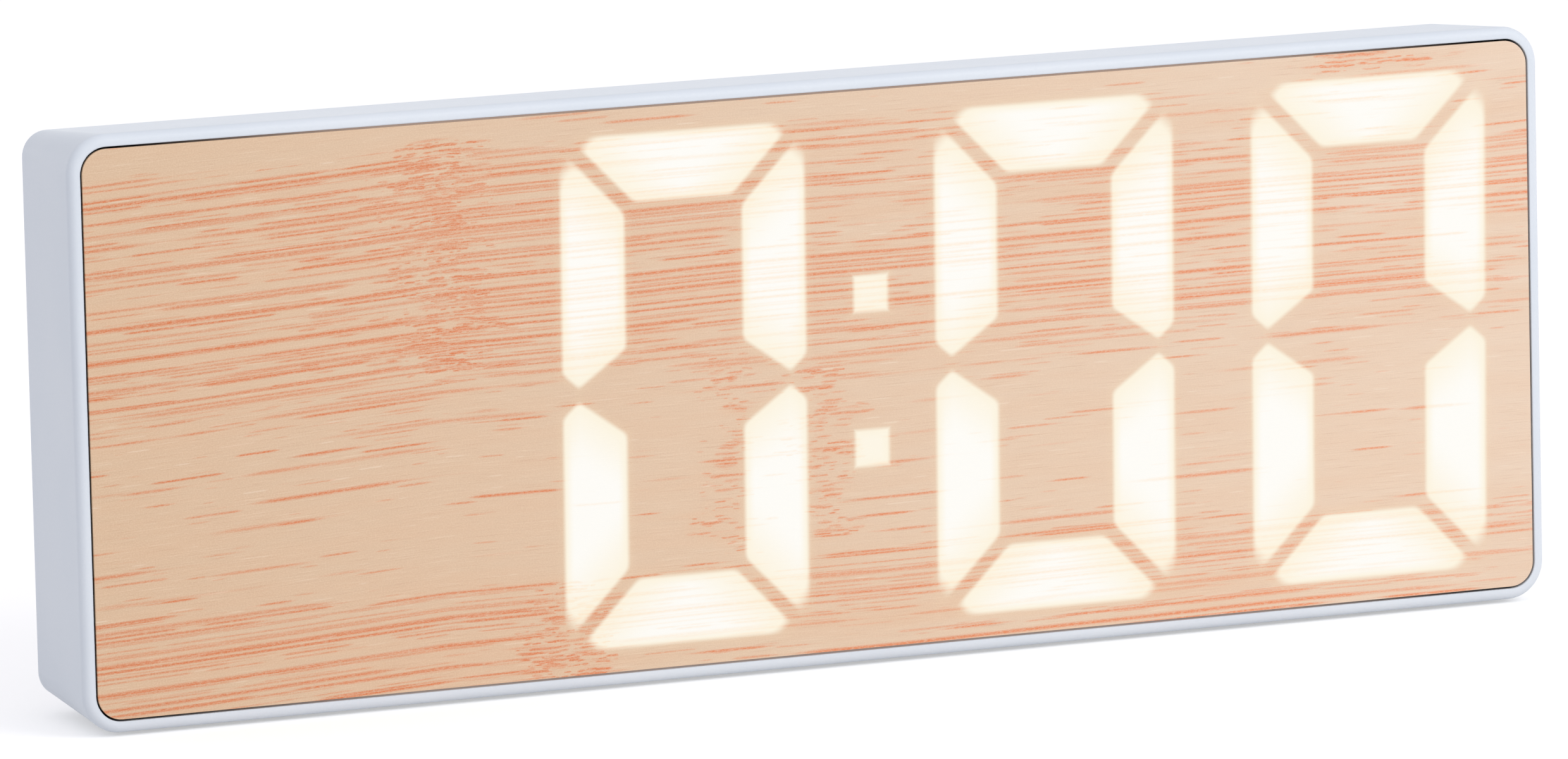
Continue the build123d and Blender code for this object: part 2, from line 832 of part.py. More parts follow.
def battery_door():
    """The door with its two locating tabs, latch tongue and finger grooves."""
    width = door_hole_width - 2 * door_clearance
    height = door_hole_height - 2 * door_clearance
    outline = rounded(width, height, door_corner_radius - door_clearance)
    door = layer(at(bay_centre, 0, outline), door_inside, total_depth)
    tab_z = height / 2 - door_tab_thickness / 2
    tab = Rectangle(door_tab_width, door_tab_thickness)
    for x in tab_centres():
        door += layer(at(x, tab_z, tab), door_inside - door_tab_length, door_inside)
    latch = Rectangle(latch_width, door_tab_thickness)
    door += layer(at(bay_centre, -tab_z, latch), door_inside - door_tab_length, door_inside)
    for side in (-1, 1):
        x = bay_centre + side * (latch_width + latch_slit) / 2
        slit = Rectangle(latch_slit, 2 * latch_slit_length)
        door -= layer(at(x, -height / 2, slit), door_inside - overrun, total_depth + overrun)
    groove = Rectangle(grip_length, grip_width)
    for place in range(grip_count):
        z = -height / 2 + (place + 1) * grip_pitch
        door -= layer(at(bay_centre, z, groove), total_depth - grip_depth, total_depth + overrun)
    return door


def button(x):
    """A button cap: its head passes through the pad and its flange keeps it in."""
    head = layer(
        at(x, button_row_height, slot_outline(button_length, button_width, 0)),
        flange_back,
        pad_back + button_proud,
    )
    head = chamfer(head.faces().sort_by(Axis.Y)[-1].edges(), button_edge_cut)
    flange = slot_outline(flange_length, flange_width, 0)
    return head + layer(at(x, button_row_height, flange), flange_front, flange_back)


def plunger(x):
    """The moving stem of a switch. It touches the button's flange."""
    stem = Circle(plunger_radius)
    return layer(at(x, button_row_height, stem), switch_back - plunger_seat, flange_front)


def switch_bodies():
    """The switches on the button board, each with a bore for its plunger."""
    switches = []
    for x in button_centres:
        block = layer(
            at(x, button_row_height, Rectangle(switch_size, switch_size)),
            button_board_back,
            switch_back,
        )
        block = chamfer(block.edges().filter_by(Axis.Y), switch_edge_cut)
        bore = at(x, button_row_height, Circle(plunger_radius + plunger_clearance))
        bore_end = switch_back - plunger_seat - button_travel - travel_clearance
        switches.append(block - layer(bore, bore_end, switch_back + overrun))
    return switches


def button_board():
    """The small board on the cover's posts that carries the switches and the inlet."""
    outline = rounded(button_board_width, button_board_height, board_corner_radius)
    board = layer(at(board_centre, 0, outline), button_board_front, button_board_back)
    hole = Circle(small_screw_radius + screw_clearance)
    for x, z in post_places:
        board -= layer(at(x, z, hole), button_board_front - overrun, button_board_back + overrun)
    return board


def board_screws():
    """The screws that hold the button board. Their heads face the display board."""
    screws = []
    for x, z in post_places:
        one = screw(
            0, 0, 0, small_screw_radius, post_screw_length,
            small_screw_head_radius, small_screw_head_height,
        )
        turned = mirror(one, about=station(0))
        screws.append(Pos(x, button_board_front, z) * turned)
    return screws


def power_socket():
    """The inlet: a thin shell round a contact tongue, standing on the button board."""
    back = total_depth - inlet_recess
    mouth = back - inlet_mouth_depth
    place = (inlet_x, inlet_z)
    shell = layer(at(*place, inlet_outline(0)), button_board_back, back)
    shell -= layer(at(*place, inlet_outline(-inlet_wall)), mouth, back + overrun)
    tongue = Rectangle(inlet_tongue_width, inlet_tongue_thickness)
    return shell + layer(at(*place, tongue), mouth, mouth + inlet_tongue_reach)


def buzzer():
    """The round buzzer, standing on the display board with its sound hole to the back."""
    body = layer(at(buzzer_x, 0, Circle(buzzer_radius)), board_back, board_back + buzzer_height)
    hole = at(buzzer_x, 0, Circle(buzzer_hole_radius))
    back = board_back + buzzer_height
    return body - layer(hole, back - buzzer_hole_depth, back + overrun)


def temperature_sensor():
    """The bead and its two leads behind the vents."""
    middle = button_board_back + sensor_lead_length
    disc = at(sensor_x, inlet_z, Circle(sensor_bead_radius))
    bead = layer(disc, middle, middle + sensor_bead_length)
    for side in (-1, 1):
        lead = at(sensor_x + side * sensor_lead_pitch / 2, inlet_z, Circle(sensor_lead_radius))
        bead += layer(lead, button_board_back, middle)
    return bead


def driver_chip():
    """The clock and driver chip with its two rows of leads."""
    front = board_back + chip_standoff
    package = at(chip_centre, chip_level, Rectangle(chip_length, chip_width))
    chip = layer(package, front, front + chip_height)
    reach = chip_width / 2 + chip_lead_reach
    for place in range(chip_lead_count):
        x = chip_centre + (place - (chip_lead_count - 1) / 2) * chip_lead_pitch
        lead = at(x, chip_level, Rectangle(chip_lead_width, 2 * reach))
        chip += layer(lead, board_back, board_back + chip_lead_height)
    return chip


def clock_crystal():
    """The crystal's can, lying on the display board."""
    depth = face_y + board_back + crystal_radius
    start = crystal_centre - crystal_length / 2
    end = Plane(origin=(start, depth, middle_z + crystal_level), z_dir=(1, 0, 0))
    return extrude(end * Circle(crystal_radius), crystal_length)


def capacitor():
    """The supply capacitor: a can on a square base."""
    place = (capacitor_centre, capacitor_level)
    base = Rectangle(2 * capacitor_radius, 2 * capacitor_radius)
    foot_end = board_back + capacitor_base
    can = layer(at(*place, Circle(capacitor_radius)), foot_end, board_back + capacitor_height)
    return can + layer(at(*place, base), board_back, foot_end)


def ribbon_sockets():
    """The ribbon's two sockets, on the display board and on the button board."""
    outline = Rectangle(ribbon_socket_length, ribbon_socket_width)
    on_display = at(ribbon_centre, ribbon_display_z, outline)
    on_buttons = at(ribbon_centre, ribbon_button_z, outline)
    front = button_board_front - ribbon_socket_height
    return [
        layer(on_display, board_back, board_back + ribbon_socket_height),
        layer(on_buttons, front, button_board_front),
    ]


def board_ribbon():
    """The flat ribbon: out of one socket, round a half turn and into the other."""
    first = board_back + ribbon_level
    second = button_board_front - ribbon_level
    turn = (second - first) / 2
    low = ribbon_display_z - ribbon_socket_width / 2
    bend = low - ribbon_lead_out
    half = ribbon_thickness / 2
    side = Plane(
        origin=(ribbon_centre - ribbon_width / 2, face_y, middle_z), x_dir=(0, 1, 0), z_dir=(1, 0, 0)
    )
    ring = Circle(turn + half) - Circle(turn - half)
    keep = Pos(0, -turn) * Rectangle(4 * turn, 2 * turn)
    strip = Pos((first + second) / 2, bend) * (ring & keep)
    display_run = low - bend
    strip += Pos(first, bend + display_run / 2) * Rectangle(ribbon_thickness, display_run)
    button_run = ribbon_button_z - ribbon_socket_width / 2 - bend
    strip += Pos(second, bend + button_run / 2) * Rectangle(ribbon_thickness, button_run)
    return extrude(side * strip, ribbon_width)


def cover_screws():
    """The screws through the cover's pillars into the housing's bosses."""
    screws = []
    for x, z in corner_places:
        one = screw(
            x, z, cover_rim_back, cover_screw_radius, cover_screw_length,
            cover_screw_head_radius, cover_screw_head_height,
        )
        one = chamfer(one.faces().sort_by(Axis.Y)[-1].edges(), screw_head_cut)
        head_back = cover_rim_back + cover_screw_head_height
        screws.append(one - cross_recess(x, z, cover_screw_head_radius, head_back))
    return screws


def display_screws():
    """The screws through the housing's lugs and the display board into the mask."""
    seat = board_back + lug_thickness
    return [
        screw(
            x, z, seat, small_screw_radius, display_screw_length,
            small_screw_head_radius, small_screw_head_height,
        )
        for x, z in lug_places
    ]


nodes = {
    "front_housing": [front_housing()],
    "face_film": [panel(0, film_thickness)],
    "face_plate": [panel(film_thickness, panel_back)],
    "panel_tape": [panel_tape()],
    "diffuser_sheet": [layer(stack_outline(0), panel_back, mask_front)],
    "light_mask": [light_mask()],
    "display_board": [display_board()],
    "segment_leds": segment_leds(),
    "driver_chip": [driver_chip()],
    "clock_crystal": [clock_crystal()],
    "capacitor": [capacitor()],
    "buzzer": [buzzer()],
    "ribbon_sockets": ribbon_sockets(),
    "board_ribbon": [board_ribbon()],
    "button_board": [button_board()],
    "board_screws": board_screws(),
    "switch_bodies": switch_bodies(),
    "power_socket": [power_socket()],
    "temperature_sensor": [temperature_sensor()],
    "battery_cells": battery_cells(),
    "battery_springs": battery_springs(),
    "battery_contacts": battery_contacts(),
    "battery_leads": battery_leads(),
    "rear_cover": [rear_cover()],
    "battery_door": [battery_door()],
    "left_foot": [foot(-1)],
    "right_foot": [foot(1)],
    "cover_screws": cover_screws(),
    "display_screws": display_screws(),
}
for button_name, button_x in zip(button_names, button_centres):
    nodes[button_name + "_button"] = [button(button_x)]
    nodes[button_name + "_plunger"] = [plunger(button_x)]

os.makedirs("parts", exist_ok=True)
for name, pieces in nodes.items():
    solids = [solid for piece in pieces for solid in piece.solids()]
    shape = solids[0] if len(solids) == 1 else Compound(children=solids)
    export_step(shape, f"parts/{name}.step")
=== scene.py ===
import bpy
import json
import math
from mathutils import Matrix, Vector


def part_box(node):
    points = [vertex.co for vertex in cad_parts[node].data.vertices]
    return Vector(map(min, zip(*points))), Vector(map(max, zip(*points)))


# Looks of the desk clock. Lengths are in metres. Only the printed face is drawn in millimetres:
# X runs right and Z runs up from the middle of the panel.
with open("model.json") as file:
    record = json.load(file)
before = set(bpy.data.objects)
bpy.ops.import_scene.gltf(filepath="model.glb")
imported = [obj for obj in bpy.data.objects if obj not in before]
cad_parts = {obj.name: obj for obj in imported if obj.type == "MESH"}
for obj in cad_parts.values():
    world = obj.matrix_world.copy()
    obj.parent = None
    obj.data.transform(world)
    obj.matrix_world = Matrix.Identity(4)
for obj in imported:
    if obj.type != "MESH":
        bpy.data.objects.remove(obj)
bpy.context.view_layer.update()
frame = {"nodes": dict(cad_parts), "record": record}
face_low, face_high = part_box("face_film")
panel_middle = Vector((0, face_low.y, (face_low.z + face_high.z) / 2))
millimetre = 0.001
panel_half_width = 80.0
panel_half_height = 29.0

# Camera, set by the photograph's corners. Its place and aim are from the middle of the panel.
camera_place = Vector((-0.51894, -1.18676, 0.19121))
camera_aim = Vector((-0.00402, 0.00167, -0.00051))
camera_roll = math.radians(-1.3198)
camera_lens = 297.22
camera_sensor = 36.0
camera_far = 50.0

# Lamps: name, place, width, height, watts, colour
lamps = (
    ("key_lamp", (0.75, -1.15, 0.85), 0.9, 0.9, 7.45, (1.0, 0.985, 0.925)),
    ("low_lamp", (0.1, -1.1, 0.1), 1.4, 0.18, 1.4, (1.0, 0.99, 0.97)),
    ("back_lamp", (0.35, 1.4, 0.06), 1.2, 0.1, 0.5, (1.0, 0.99, 0.97)),
)
room_colour = (0.958, 0.945, 1.0, 1.0)
room_light = 0.705
floor_colour = (0.82, 0.82, 0.82, 1.0)
floor_lift = 0.42
floor_reach = 6.0
floor_cloud = 0.985

# Rounding that the light sees on moulded edges, and the depth of each relief
edge_round = 0.22 * millimetre
wood_relief = 0.012 * millimetre
plate_relief = 0.003 * millimetre
metal_relief = 0.004 * millimetre
track_relief = 0.03 * millimetre
wire_relief = 0.08 * millimetre
lead_relief = 0.01 * millimetre

# Lit digits: the middle lines of the three noughts, and half sizes from the middle of one.
# A mitre is where the line Z = X + mitre cuts a segment's end. The lean is X for each unit of Z.
zero_centres = (-15.475, 25.575, 61.175)
digit_shift = 0.11
digit_lean = -0.01167
digit_drop = 0.08
digit_half_width = 13.335
digit_half_height = 25.98
upright_inner = 6.445
level_inner = 19.15
upright_mitre = 11.567
level_mitre = 13.8
waist_inner = (6.55, 4.29)
waist_tip = (11.6, 0.74)
waist_outer = (13.3, 2.24)
segment_ease = 0.7
diagonal = math.sqrt(0.5)

# A digit's outer corners are cut along X + Z = corner line. The light fades towards the cut.
upright_corner_line = 35.55
upright_corner_fade = 0.33
level_corner_line = 35.77
level_corner_fade = 0.55

# Colon
colon_centre = 5.05
colon_height = 7.9
colon_half = 1.875

# How the light grows with the depth inside a segment, in millimetres, and the shares of its tones
lit_edge = (-0.33, 0.28)
white_edge = (-0.1, 1.15)
halo_edge = (-1.1, -0.1)
tip_reach = 5.5
tip_white = 0.17
colon_white = 0.25
halo_share = 0.16
ink_share = 0.4
glow_strength = 0.85

# Long threads of the bamboo: pitch, width, length, seed, extra cover, strength
long_rows = (
    (1.75, 0.2, 21.0, 1.7, 0.03, 1.0),
    (1.15, 0.16, 12.0, 4.3, -0.02, 1.0),
    (0.8, 0.12, 7.0, 8.9, -0.07, 0.6),
    (2.7, 0.27, 30.0, 12.1, 0.05, 1.0),
)
# Short dashes inside the knuckles: pitch, width, length, seed
dash_rows = (
    (0.6, 0.15, 1.7, 21.0),
    (0.95, 0.19, 3.6, 27.0),
    (0.45, 0.11, 1.1, 35.0),
    (0.8, 0.2, 2.4, 43.0),
)
# Threads that run into the first knuckle from the left: pitch, width, length, seed
burst_rows = (
    (0.9, 0.17, 7.0, 61.0),
    (1.25, 0.19, 10.0, 67.0),
)
# Knuckles: middle X, half width, lowest Z, highest Z, strength
knuckles = (
    (-41.5, 6.4, 3.0, 27.0, 0.89),
    (-11.0, 3.4, -18.0, 3.0, 0.75),
    (-0.5, 4.4, -17.0, 1.0, 0.78),
    (-29.0, 6.0, -29.5, -18.5, 0.87),
    (60.0, 10.0, 26.3, 29.5, 0.9),
)
# X of the lowest strip's joint. For each strip above it, its starting Z and its step in X
first_joint = -29.0
joint_steps = ((-18.5, 24.0), (2.5, -35.5), (26.3, 100.5))
# How dense the threads are up the panel: share of its height, density
dense_stops = (
    (0, 0.85), (0.1, 0.95), (0.17, 0.85), (0.195, 0.48), (0.46, 0.46), (0.5, 0.64),
    (0.55, 0.85), (0.68, 1.0), (0.85, 0.95), (0.925, 0.8), (0.96, 0.3), (1, 0.4),
)


def paint(red, green, blue):
    """A colour as it looks on a screen, 0 to 255, in the shader's own numbers."""

    def linear(value):
        value /= 255
        return value / 12.92 if value <= 0.04045 else ((value + 0.055) / 1.055) ** 2.4

    return linear(red), linear(green), linear(blue), 1.0


# Helpers that put nodes in a tree


def put(tree, socket, value):
    """Sets a socket to a value, or joins it to another socket."""
    if isinstance(value, bpy.types.NodeSocket):
        tree.links.new(value, socket)
    else:
        socket.default_value = value


def dress(tree, made, **values):
    """Sets or joins the named sockets of a node. An underscore in a name stands for a space."""
    for name, value in values.items():
        put(tree, made.inputs[name.replace("_", " ")], value)


def node(tree, kind, settings=None, **values):
    """A new node with its settings and the values of its named sockets."""
    made = tree.nodes.new(kind)
    for name, value in (settings or {}).items():
        setattr(made, name, value)
    dress(tree, made, **values)
    return made


def calc(tree, way, first, second=0.0, clamp=False):
    """A sum on one or two numbers."""
    made = node(tree, "ShaderNodeMath", {"operation": way, "use_clamp": clamp})
    put(tree, made.inputs[0], first)
    put(tree, made.inputs[1], second)
    return made.outputs[0]


def plus(tree, first, second):
    """One number added to another."""
    return calc(tree, "ADD", first, second)


def minus(tree, first, second):
    """One number taken from another."""
    return calc(tree, "SUBTRACT", first, second)


def times(tree, first, *others):
    """The product of two or more numbers."""
    for other in others:
        first = calc(tree, "MULTIPLY", first, other)
    return first


def apart(tree, first, second):
    """How far apart two numbers are."""
    return calc(tree, "ABSOLUTE", minus(tree, first, second))


def greatest(tree, first, *others):
    """The greatest of several numbers."""
    for other in others:
        first = calc(tree, "MAXIMUM", first, other)
    return first


def least(tree, first, *others, ease=0.0):
    """The least of several numbers, with its corners eased by a distance."""
    for other in others:
        made = node(tree, "ShaderNodeMath", {"operation": "SMOOTH_MIN" if ease else "MINIMUM"})
        for place, value in enumerate((first, other, ease)):
            put(tree, made.inputs[place], value)
        first = made.outputs[0]
    return first


def slope(tree, value, low, high, bottom=0.0, top=1.0):
    """A smooth step of a value from bottom to top between low and high."""
    made = node(
        tree, "ShaderNodeMapRange", {"interpolation_type": "SMOOTHSTEP"}, Value=value,
        From_Min=low, From_Max=high, To_Min=bottom, To_Max=top,
    )
    return made.outputs[0]


def straight_slope(tree, value, low, high):
    """A value brought to 0 to 1 between low and high."""
    return node(tree, "ShaderNodeMapRange", Value=value, From_Min=low, From_Max=high).outputs[0]


def swing(tree, value, reach):
    """A value from 0 to 1 made to swing to both sides of 0, over a reach."""
    return times(tree, minus(tree, value, 0.5), reach)


def blend(tree, share, first, second):
    """Two colours mixed by a share."""
    made = node(tree, "ShaderNodeMix", {"data_type": "RGBA"})
    for place, value in ((0, share), (6, first), (7, second)):
        put(tree, made.inputs[place], value)
    return made.outputs[2]


def blend_value(tree, share, first, second):
    """Two numbers mixed by a share."""
    return node(tree, "ShaderNodeMix", Factor=share, A=first, B=second).outputs["Result"]


def value_ramp(tree, value, stops):
    """A value looked up on a ramp of (place, value) stops."""
    ramp = node(tree, "ShaderNodeValToRGB", Fac=value)
    elements = ramp.color_ramp.elements
    while len(elements) < len(stops):
        elements.new(0.5)
    for element, (spot, level) in zip(elements, stops):
        element.position = spot
        element.color = (level, level, level, 1)
    return node(tree, "ShaderNodeSeparateColor", Color=ramp.outputs["Color"]).outputs[0]


def vector(tree, x, y, z=0.0):
    """A vector from three numbers."""
    return node(tree, "ShaderNodeCombineXYZ", X=x, Y=y, Z=z).outputs[0]


def one_axis(tree, place, axis):
    """X, Y or Z of a vector."""
    return node(tree, "ShaderNodeSeparateXYZ", Vector=place).outputs[axis]


def part_place(tree):
    """The point on the part, in metres."""
    return node(tree, "ShaderNodeTexCoord").outputs["Object"]


def facing(tree, axis):
    """How squarely a face looks along an axis, from 0 to 1."""
    normal = node(tree, "ShaderNodeNewGeometry").outputs["Normal"]
    return calc(tree, "ABSOLUTE", one_axis(tree, normal, axis))


def noise(tree, place, scale=1.0, detail=2.0, rough=0.5):
    """A cloudy value from 0 to 1."""
    made = node(
        tree, "ShaderNodeTexNoise", Vector=place, Scale=scale, Detail=detail, Roughness=rough
    )
    return made.outputs["Fac"]


def blots(tree, x, z, wide, high, seed=0.0, detail=2.0):
    """A cloudy value from 0 to 1 whose blots are that wide and high."""
    across = calc(tree, "DIVIDE", x, wide)
    up = calc(tree, "DIVIDE", z, high)
    return noise(tree, vector(tree, across, up, seed), detail=detail)


def group(name, inputs, outputs):
    """A new shader group with its sockets, and its input and output nodes."""
    tree = bpy.data.node_groups.new(name, "ShaderNodeTree")
    kinds = {
        "colour": "NodeSocketColor", "value": "NodeSocketFloat", "vector": "NodeSocketVector",
    }
    for label, kind in inputs:
        tree.interface.new_socket(label, in_out="INPUT", socket_type=kinds[kind])
    for label, kind in outputs:
        tree.interface.new_socket(label, in_out="OUTPUT", socket_type=kinds[kind])
    return tree, tree.nodes.new("NodeGroupInput").outputs, tree.nodes.new("NodeGroupOutput")


def placed(tree, made_group, **values):
    """A group placed in a tree, with the values of its named sockets."""
    return node(tree, "ShaderNodeGroup", {"node_tree": made_group}, **values).outputs


def material(name, **values):
    """A new material. It gives back the material, its tree and its shader."""
    made = bpy.data.materials.new(name)
    made.use_nodes = True
    shader = made.node_tree.nodes["Principled BSDF"]
    dress(made.node_tree, shader, **values)
    return made, made.node_tree, shader


def emboss(tree, shader, height, depth):
    """A bump of that depth in metres on a shader."""
    bump = node(tree, "ShaderNodeBump", Strength=1.0, Distance=depth, Height=height)
    dress(tree, shader, Normal=bump.outputs[0])
    return bump


# The lit digits


def panel_place_group():
    """X and Z on the panel, in millimetres from its middle."""
    tree, _, out = group("panel_place", [], [("X", "value"), ("Z", "value")])
    place = part_place(tree)
    up = minus(tree, one_axis(tree, place, "Z"), panel_middle.z)
    dress(
        tree, out,
        X=calc(tree, "DIVIDE", one_axis(tree, place, "X"), millimetre),
        Z=calc(tree, "DIVIDE", up, millimetre),
    )
    return tree


def above_line(tree, a, b, start, end):
    """How far a point (a, b) is above the line from start to end."""
    run, rise = end[0] - start[0], end[1] - start[1]
    length = math.hypot(run, rise)
    across = times(tree, minus(tree, a, start[0]), -rise / length)
    up = times(tree, minus(tree, b, start[1]), run / length)
    return plus(tree, across, up)


def inside_corner(tree, a, b, line, fade):
    """How far a point is inside a digit's cut corner, scaled by the fade of its light."""
    return times(tree, minus(tree, line, plus(tree, a, b)), diagonal * fade)


def upright_ends(tree, a, b):
    """How far a point is inside the three slanted ends of an upright segment."""
    steep = minus(tree, b, a)
    return (
        times(tree, minus(tree, upright_mitre, steep), diagonal),
        above_line(tree, a, b, waist_inner, waist_tip),
        above_line(tree, a, b, waist_tip, waist_outer),
    )


def upright_depth(tree, a, b, ends):
    """How deep a point lies inside an upright segment."""
    return least(
        tree,
        minus(tree, digit_half_width, a),
        minus(tree, a, upright_inner),
        inside_corner(tree, a, b, upright_corner_line, upright_corner_fade),
        *ends,
        ease=segment_ease,
    )


def level_depth(tree, a, b, end):
    """How deep a point lies inside a level segment."""
    return least(
        tree,
        minus(tree, digit_half_height, b),
        minus(tree, b, level_inner),
        inside_corner(tree, a, b, level_corner_line, level_corner_fade),
        end,
        ease=segment_ease,
    )


def colon_depth(tree, x, b):
    """How deep a point lies inside a dot of the colon."""
    across = apart(tree, x, colon_centre)
    along = apart(tree, b, colon_height)
    return minus(tree, colon_half, greatest(tree, across, along))


def lit_digits_group():
    """How deep a point lies inside the lit segments, below 0 outside them, how far it is from
    their slanted ends, and whether it is in the colon. (a, b) is the point folded into one
    quarter of a nought."""
    tree, given, out = group(
        "lit_digits", [("X", "value"), ("Z", "value")],
        [("Depth", "value"), ("Tip", "value"), ("Dot", "value")],
    )
    b = calc(tree, "ABSOLUTE", plus(tree, given["Z"], digit_drop))
    x = plus(tree, given["X"], times(tree, given["Z"], digit_lean))
    x = plus(tree, x, digit_shift)
    a = least(tree, *[apart(tree, x, centre) for centre in zero_centres])
    ends = upright_ends(tree, a, b)
    level_end = times(tree, minus(tree, minus(tree, b, a), level_mitre), diagonal)
    dot = colon_depth(tree, x, b)
    depth = greatest(
        tree, upright_depth(tree, a, b, ends), level_depth(tree, a, b, level_end), dot
    )
    tip = greatest(tree, level_end, least(tree, *ends))
    dress(tree, out, Depth=depth, Tip=tip, Dot=slope(tree, dot, -0.5, 0.0))
    return tree


# The bamboo print


def threads_group():
    """Separate thin threads along the wood, from 0 to 1. Each row has one thread, with its own
    height in the row, its own breaks and its own strength."""
    tree, given, out = group(
        "wood_threads",
        [("X", "value"), ("Z", "value"), ("Pitch", "value"), ("Width", "value"),
         ("Length", "value"), ("Seed", "value"), ("Cover", "value")],
        [("Thread", "value")],
    )
    row_play, start_spread = 0.6, 90.0
    highest_break, cover_pull, break_fade = 0.85, 0.6, 0.14
    thin_end, faintest, soft_rim = 0.45, 0.42, 1.2
    row = calc(tree, "FLOOR", calc(tree, "DIVIDE", given["Z"], given["Pitch"]))
    chance = node(
        tree, "ShaderNodeTexWhiteNoise", {"noise_dimensions": "2D"},
        Vector=vector(tree, row, given["Seed"]),
    ).outputs["Color"]
    chance = node(tree, "ShaderNodeSeparateColor", Color=chance).outputs
    shift = plus(tree, times(tree, chance[0], row_play), (1 - row_play) / 2)
    centre = times(tree, plus(tree, row, shift), given["Pitch"])
    away = apart(tree, given["Z"], centre)
    start = times(tree, chance[1], start_spread)
    run = node(
        tree, "ShaderNodeTexNoise", {"noise_dimensions": "1D"},
        W=plus(tree, calc(tree, "DIVIDE", given["X"], given["Length"]), start),
        Scale=1.0, Detail=1.5, Roughness=0.55,
    ).outputs["Fac"]
    edge = minus(tree, highest_break, times(tree, given["Cover"], cover_pull))
    there = slope(tree, run, edge, plus(tree, edge, break_fade))
    thick = plus(tree, thin_end, times(tree, there, 1 - thin_end))
    thick = times(tree, given["Width"], thick)
    profile = slope(tree, away, times(tree, thick, soft_rim), 0.0)
    weight = plus(tree, faintest, times(tree, chance[2], 1 - faintest))
    dress(tree, out, Thread=times(tree, profile, there, weight))
    return tree


def grain_height(tree, x, z):
    """The height followed along the grain, which waves, tilts and bends at the left."""
    wave_reach, bend_start, bend, tilt = 1.3, -42.0, 0.045, 0.01
    wave = swing(tree, blots(tree, x, z, 60, 30, detail=1.0), wave_reach)
    left = calc(tree, "MINIMUM", minus(tree, x, bend_start), 0.0)
    bent = minus(tree, plus(tree, z, wave), times(tree, left, bend))
    return minus(tree, bent, times(tree, x, tilt))


def thread_cover(tree, x, z, dense):
    """How much of its length each long thread covers."""
    least_cover, patch_cover, more_at_left, less_at_right = 0.62, 0.5, 0.08, -0.14
    patch = slope(tree, blots(tree, x, z, 60, 6, 3.0), 0.32, 0.68)
    cover = times(tree, dense, plus(tree, least_cover, times(tree, patch, patch_cover)))
    cover = plus(tree, cover, slope(tree, x, -15, -45, 0.0, more_at_left))
    return plus(tree, cover, slope(tree, x, 60, 78, 0.0, less_at_right))


def strip_joint(tree, z):
    """Where along the panel each strip of bamboo has its joint."""
    place = first_joint
    for start, step in joint_steps:
        place = plus(tree, times(tree, calc(tree, "GREATER_THAN", z, start), step), place)
    return place


def long_threads(tree, threads, x, z, cover):
    """The long threads. Past its strip's ragged joint, a row of them goes on as another row."""
    joint_rag, other_rows = 22.0, 31.7
    ragged = plus(tree, x, swing(tree, blots(tree, x, z, 8, 0.9, 19.0), joint_rag))
    past = calc(tree, "GREATER_THAN", ragged, strip_joint(tree, z))
    past = times(tree, past, other_rows)
    layers = []
    for pitch, width, length, seed, extra, strength in long_rows:
        thread = placed(
            tree, threads, X=x, Z=z, Pitch=pitch, Width=width, Length=length,
            Seed=plus(tree, past, seed), Cover=plus(tree, cover, extra),
        )["Thread"]
        layers.append(times(tree, thread, strength))
    return layers


def knuckle_mask(tree, x, z):
    """Where the bamboo's knuckles lie, with ragged sides."""
    side_rag, outer, inner = 16.0, 1.5, 0.3
    edge_out, edge_in = 0.5, 0.8
    x = plus(tree, x, swing(tree, blots(tree, x, z, 9, 2.4, 15.0), side_rag))
    parts = []
    for middle, half, low, high, strength in knuckles:
        column = slope(tree, apart(tree, x, middle), half * outer, half * inner)
        above = slope(tree, z, low - edge_out, low + edge_in)
        below = slope(tree, z, high + edge_out, high - edge_in)
        parts.append(times(tree, column, above, below, strength))
    return greatest(tree, *parts)


def knuckle_dashes(tree, threads, x, z, mask):
    """Short wavy dashes inside the knuckles. They are longer on the right of the panel."""
    wave_reach, dash_cover, dash_strength = 0.45, 0.78, 1.25
    wave = swing(tree, blots(tree, x, z, 2.6, 1.3, 7.7, 1.0), wave_reach)
    wavy = plus(tree, z, wave)
    longer = slope(tree, x, -24, -16, 1.5, 2.1)
    cover = times(tree, mask, dash_cover)
    strength = times(tree, mask, dash_strength)
    layers = []
    for pitch, width, length, seed in dash_rows:
        thread = placed(
            tree, threads, X=x, Z=wavy, Pitch=pitch, Width=width, Seed=seed,
            Length=times(tree, longer, length), Cover=cover,
        )["Thread"]
        layers.append(times(tree, thread, strength))
    return layers


def knuckle_burst(tree, threads, x, z, flat_z):
    """Threads that run into the first knuckle from its left."""
    middle_x, outer_x, inner_x = -51.0, 10.0, 4.0
    middle_z, outer_z, inner_z = 13.0, 11.0, 8.0
    burst_cover = 0.62
    column = slope(tree, apart(tree, x, middle_x), outer_x, inner_x)
    mask = times(tree, column, slope(tree, apart(tree, flat_z, middle_z), outer_z, inner_z))
    cover = times(tree, mask, burst_cover)
    layers = []
    for pitch, width, length, seed in burst_rows:
        thread = placed(
            tree, threads, X=x, Z=z, Pitch=pitch, Width=width, Seed=seed, Length=length,
            Cover=cover,
        )["Thread"]
        layers.append(times(tree, thread, mask))
    return layers


def wood_ground(tree, x, z, painted_light_side, dense, mask):
    """The wood between the threads, with painted light that makes it darker to the left and
    lighter to the right, and with a blush where they are dense.
    """
    # Painted light: the wood's colour goes from a shaded left to a lit right.
    shaded_left_colour, lit_right_colour = paint(220, 190, 158), paint(237, 214, 191)
    blush_colour, blush_share, knuckle_share = paint(229, 184, 147), 0.38, 0.6
    haze = slope(tree, blots(tree, x, z, 26, 2.2, 9.0, 3.0), 0.3, 0.7, 0.1, 1.0)
    busy = calc(tree, "ADD", dense, times(tree, mask, knuckle_share), clamp=True)
    blush = times(tree, busy, haze, blush_share)
    return blend(tree, blush, blend(tree, painted_light_side, shaded_left_colour, lit_right_colour), blush_colour)


